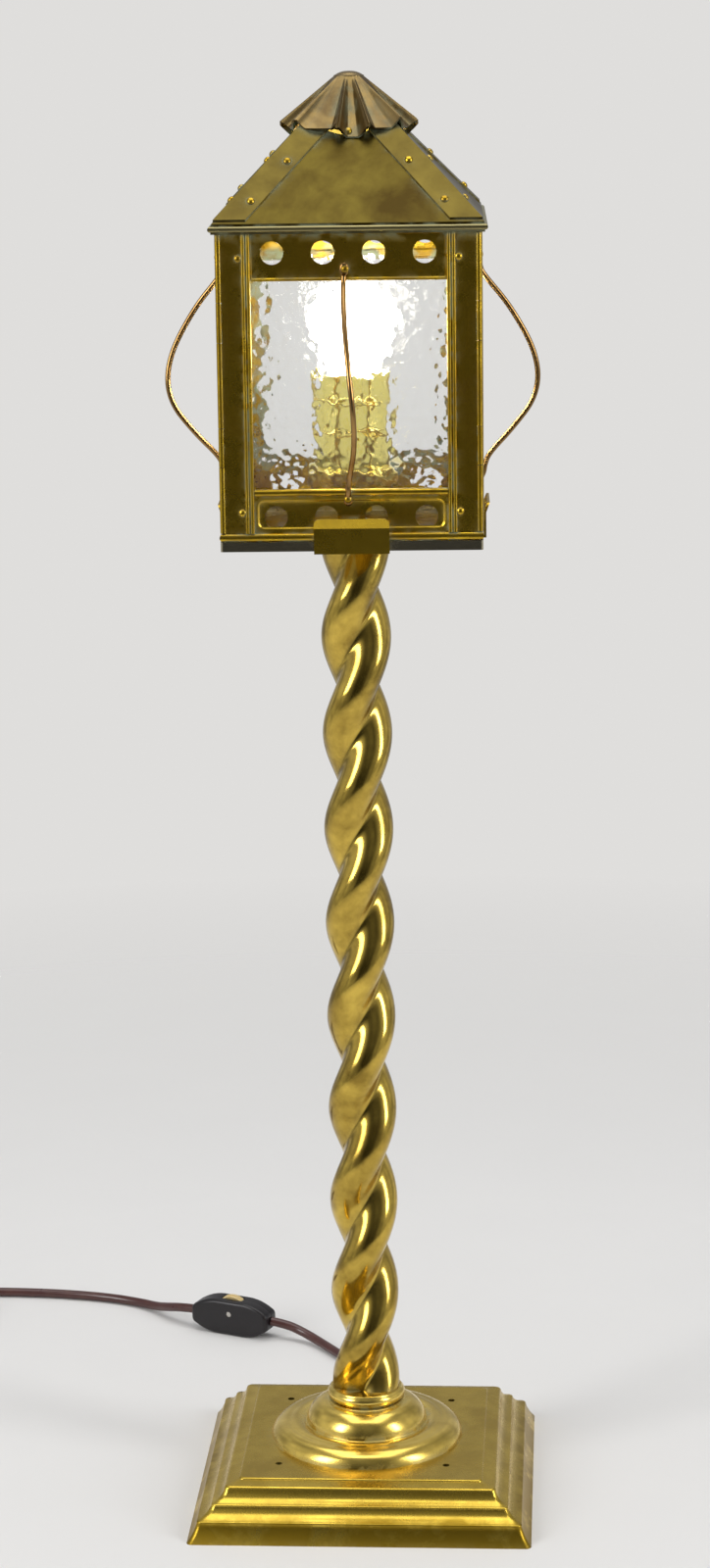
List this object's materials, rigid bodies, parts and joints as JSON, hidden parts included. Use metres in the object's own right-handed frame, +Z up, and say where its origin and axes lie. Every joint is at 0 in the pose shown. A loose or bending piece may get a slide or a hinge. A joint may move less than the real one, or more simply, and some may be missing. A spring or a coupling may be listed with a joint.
{
  "type": "table lamp",
  "caption": "Lantern table lamp: a square glazed brass lantern with a fluted vent cap, clipped on a twisted column over a stepped square foot.",
  "frame": {"origin": "centre of the underside of the foot, on the surface the lamp stands on", "axes": "+Z up along the column, -Y towards the front of the lantern, +X to its right seen from the front"},
  "size_m": [0.4281, 0.368, 0.7365],
  "materials": {
    "antique_brass": "antique, dark olive-brown patina with pale green in the corners",
    "roof_brass": "satin khaki brass patina",
    "polished_brass": "polished",
    "satin_brass": "satin lacquered",
    "holder_brass": "polished",
    "guard_wire": "drawn wire, brown patina",
    "hammered_glass": "clear hammered",
    "bulb_glass": "frosted, lit",
    "steel": "zinc plated",
    "cast_iron": "rough cast",
    "felt": "felt",
    "insulator": "glazed",
    "brown_flex": "smooth brown vinyl",
    "switch_plastic": "moulded, slightly glossy",
    "wheel_plastic": "moulded, ribbed",
    "screw_metal": "plated",
    "plug_plastic": "moulded"
  },
  "bodies": {
    "stand": {"foot_shell": "satin_brass", "foot_pad": "felt", "foot_weight": "cast_iron", "foot_boss": "polished_brass", "column_collar": "polished_brass", "twist_column": "polished_brass", "clamp_tube": "steel", "foot_nut": "steel", "foot_washer": "steel", "clip_cradle": "antique_brass", "floor_tray": "antique_brass", "lock_nut": "steel", "holder_cap": "holder_brass", "holder_shell": "holder_brass", "holder_insulator": "insulator", "thread_shell": "holder_brass", "centre_contact": "holder_brass", "flex_bushing": "switch_plastic", "flex_inner": "brown_flex", "flex_lead": "brown_flex", "switch_front": "switch_plastic", "switch_back": "switch_plastic", "switch_screw": "screw_metal", "flex_tail": "brown_flex", "flex_coil": "brown_flex", "flex_end": "brown_flex", "plug_body": "plug_plastic", "plug_blades": "holder_brass"},
    "lantern": {"wall_front_stiles": "antique_brass", "wall_front_rails": "antique_brass", "wall_front_glass": "hammered_glass", "guard_front": "guard_wire", "roof_front": "roof_brass", "wall_right_stiles": "antique_brass", "wall_right_rails": "antique_brass", "wall_right_glass": "hammered_glass", "guard_right": "guard_wire", "roof_right": "roof_brass", "wall_back_stiles": "antique_brass", "wall_back_rails": "antique_brass", "wall_back_glass": "hammered_glass", "guard_back": "guard_wire", "roof_back": "roof_brass", "wall_left_stiles": "antique_brass", "wall_left_rails": "antique_brass", "wall_left_glass": "hammered_glass", "guard_left": "guard_wire", "roof_left": "roof_brass", "corner_pins": "guard_wire", "hip_strips": "roof_brass", "eave_bead": "roof_brass", "vent_cap": "roof_brass"},
    "bulb": {"bulb_cap": "holder_brass", "bulb_glass": "bulb_glass"},
    "switch_wheel": {"switch_wheel": "wheel_plastic"}
  },
  "joints": [
    {"name": "lantern_lift", "type": "slide", "parent": "stand", "child": "lantern", "axis": [0, 0, 1], "range_m": [0, 0.17]},
    {"name": "bulb_unscrew", "type": "hinge", "parent": "stand", "child": "bulb", "pos_m": [0, 0, 0.56], "axis": [0, 0, 1], "range_deg": [0, 1080]},
    {"name": "switch_wheel_turn", "type": "hinge", "parent": "stand", "child": "switch_wheel", "pos_m": [-0.08245, 0.21075, 0.0131], "axis": [-0.4138, -0.9104, 0], "continuous": true}
  ]
}
